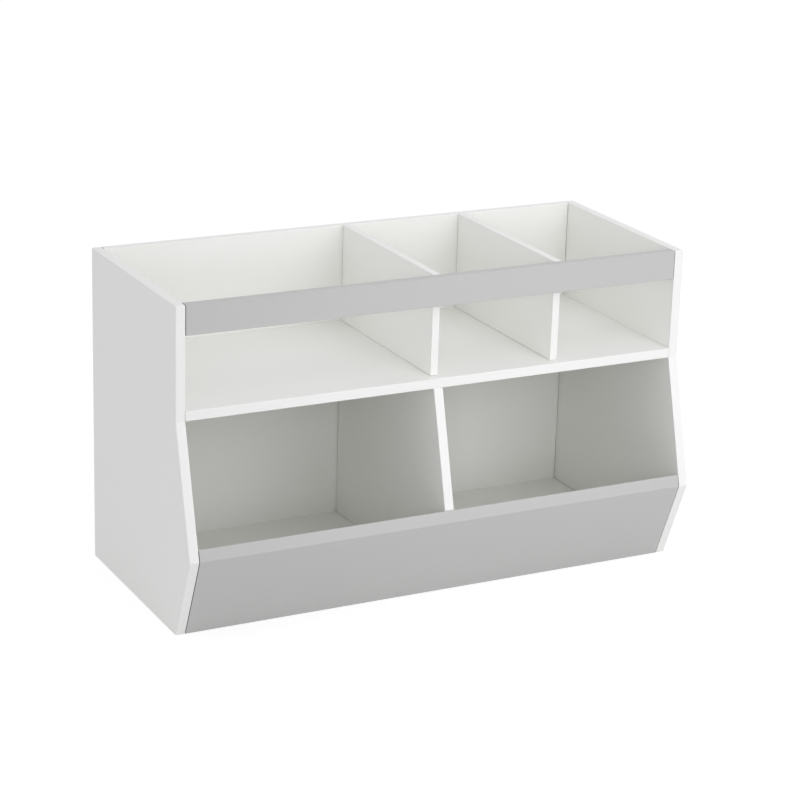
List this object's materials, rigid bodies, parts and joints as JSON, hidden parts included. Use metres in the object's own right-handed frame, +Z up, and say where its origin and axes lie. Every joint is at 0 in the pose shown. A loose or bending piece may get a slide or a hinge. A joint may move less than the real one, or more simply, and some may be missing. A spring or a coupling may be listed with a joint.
{
  "type": "picture book browser bin",
  "caption": "Two-tier storage unit with slant-fronted book bins below, open-topped trays above, a grey retaining rail and a grey leaning front panel.",
  "frame": {"origin": "on the floor, at the middle of the unit's width and of its greatest depth", "axes": "+X along the width to the right as seen from the front, -Y out of the front, +Z up"},
  "size_m": [0.842, 0.3898, 0.5],
  "materials": {
    "white_paint": "fibreboard in smooth satin white paint",
    "grey_paint": "fibreboard in smooth satin light grey paint",
    "cam_zinc": "die-cast zinc, dull",
    "plated_steel": "zinc-plated steel",
    "beech": "bare beech"
  },
  "bodies": {
    "root": {"back_panel": "white_paint", "bin_divider": "white_paint", "bolt_back_left_lower": "plated_steel", "bolt_back_left_upper": "plated_steel", "bolt_back_right_lower": "plated_steel", "bolt_back_right_upper": "plated_steel", "bolt_floor_left_front": "plated_steel", "bolt_floor_left_rear": "plated_steel", "bolt_floor_right_front": "plated_steel", "bolt_floor_right_rear": "plated_steel", "bolt_front_left": "plated_steel", "bolt_front_right": "plated_steel", "bolt_rail_left": "plated_steel", "bolt_rail_right": "plated_steel", "bolt_shelf_left_front": "plated_steel", "bolt_shelf_left_rear": "plated_steel", "bolt_shelf_right_front": "plated_steel", "bolt_shelf_right_rear": "plated_steel", "cam_back_left_lower": "cam_zinc", "cam_back_left_upper": "cam_zinc", "cam_back_right_lower": "cam_zinc", "cam_back_right_upper": "cam_zinc", "cam_floor_left_front": "cam_zinc", "cam_floor_left_rear": "cam_zinc", "cam_floor_right_front": "cam_zinc", "cam_floor_right_rear": "cam_zinc", "cam_front_left": "cam_zinc", "cam_front_right": "cam_zinc", "cam_rail_left": "cam_zinc", "cam_rail_right": "cam_zinc", "cam_shelf_left_front": "cam_zinc", "cam_shelf_left_rear": "cam_zinc", "cam_shelf_right_front": "cam_zinc", "cam_shelf_right_rear": "cam_zinc", "dowel_bin_divider_front": "beech", "dowel_bin_divider_rear": "beech", "dowel_floor_left": "beech", "dowel_floor_right": "beech", "dowel_front_left": "beech", "dowel_front_right": "beech", "dowel_rail_left": "beech", "dowel_rail_right": "beech", "dowel_shelf_left": "beech", "dowel_shelf_right": "beech", "dowel_tray_divider_centre": "beech", "dowel_tray_divider_right": "beech", "floor_board": "white_paint", "front_panel": "grey_paint", "screw_bin_divider_front": "plated_steel", "screw_bin_divider_rear": "plated_steel", "screw_shelf_left": "plated_steel", "screw_shelf_right": "plated_steel", "screw_tray_divider_centre": "plated_steel", "screw_tray_divider_right": "plated_steel", "shelf_board": "white_paint", "side_left": "white_paint", "side_right": "white_paint", "top_rail": "grey_paint", "tray_divider_centre": "white_paint", "tray_divider_right": "white_paint"}
  },
  "joints": []
}
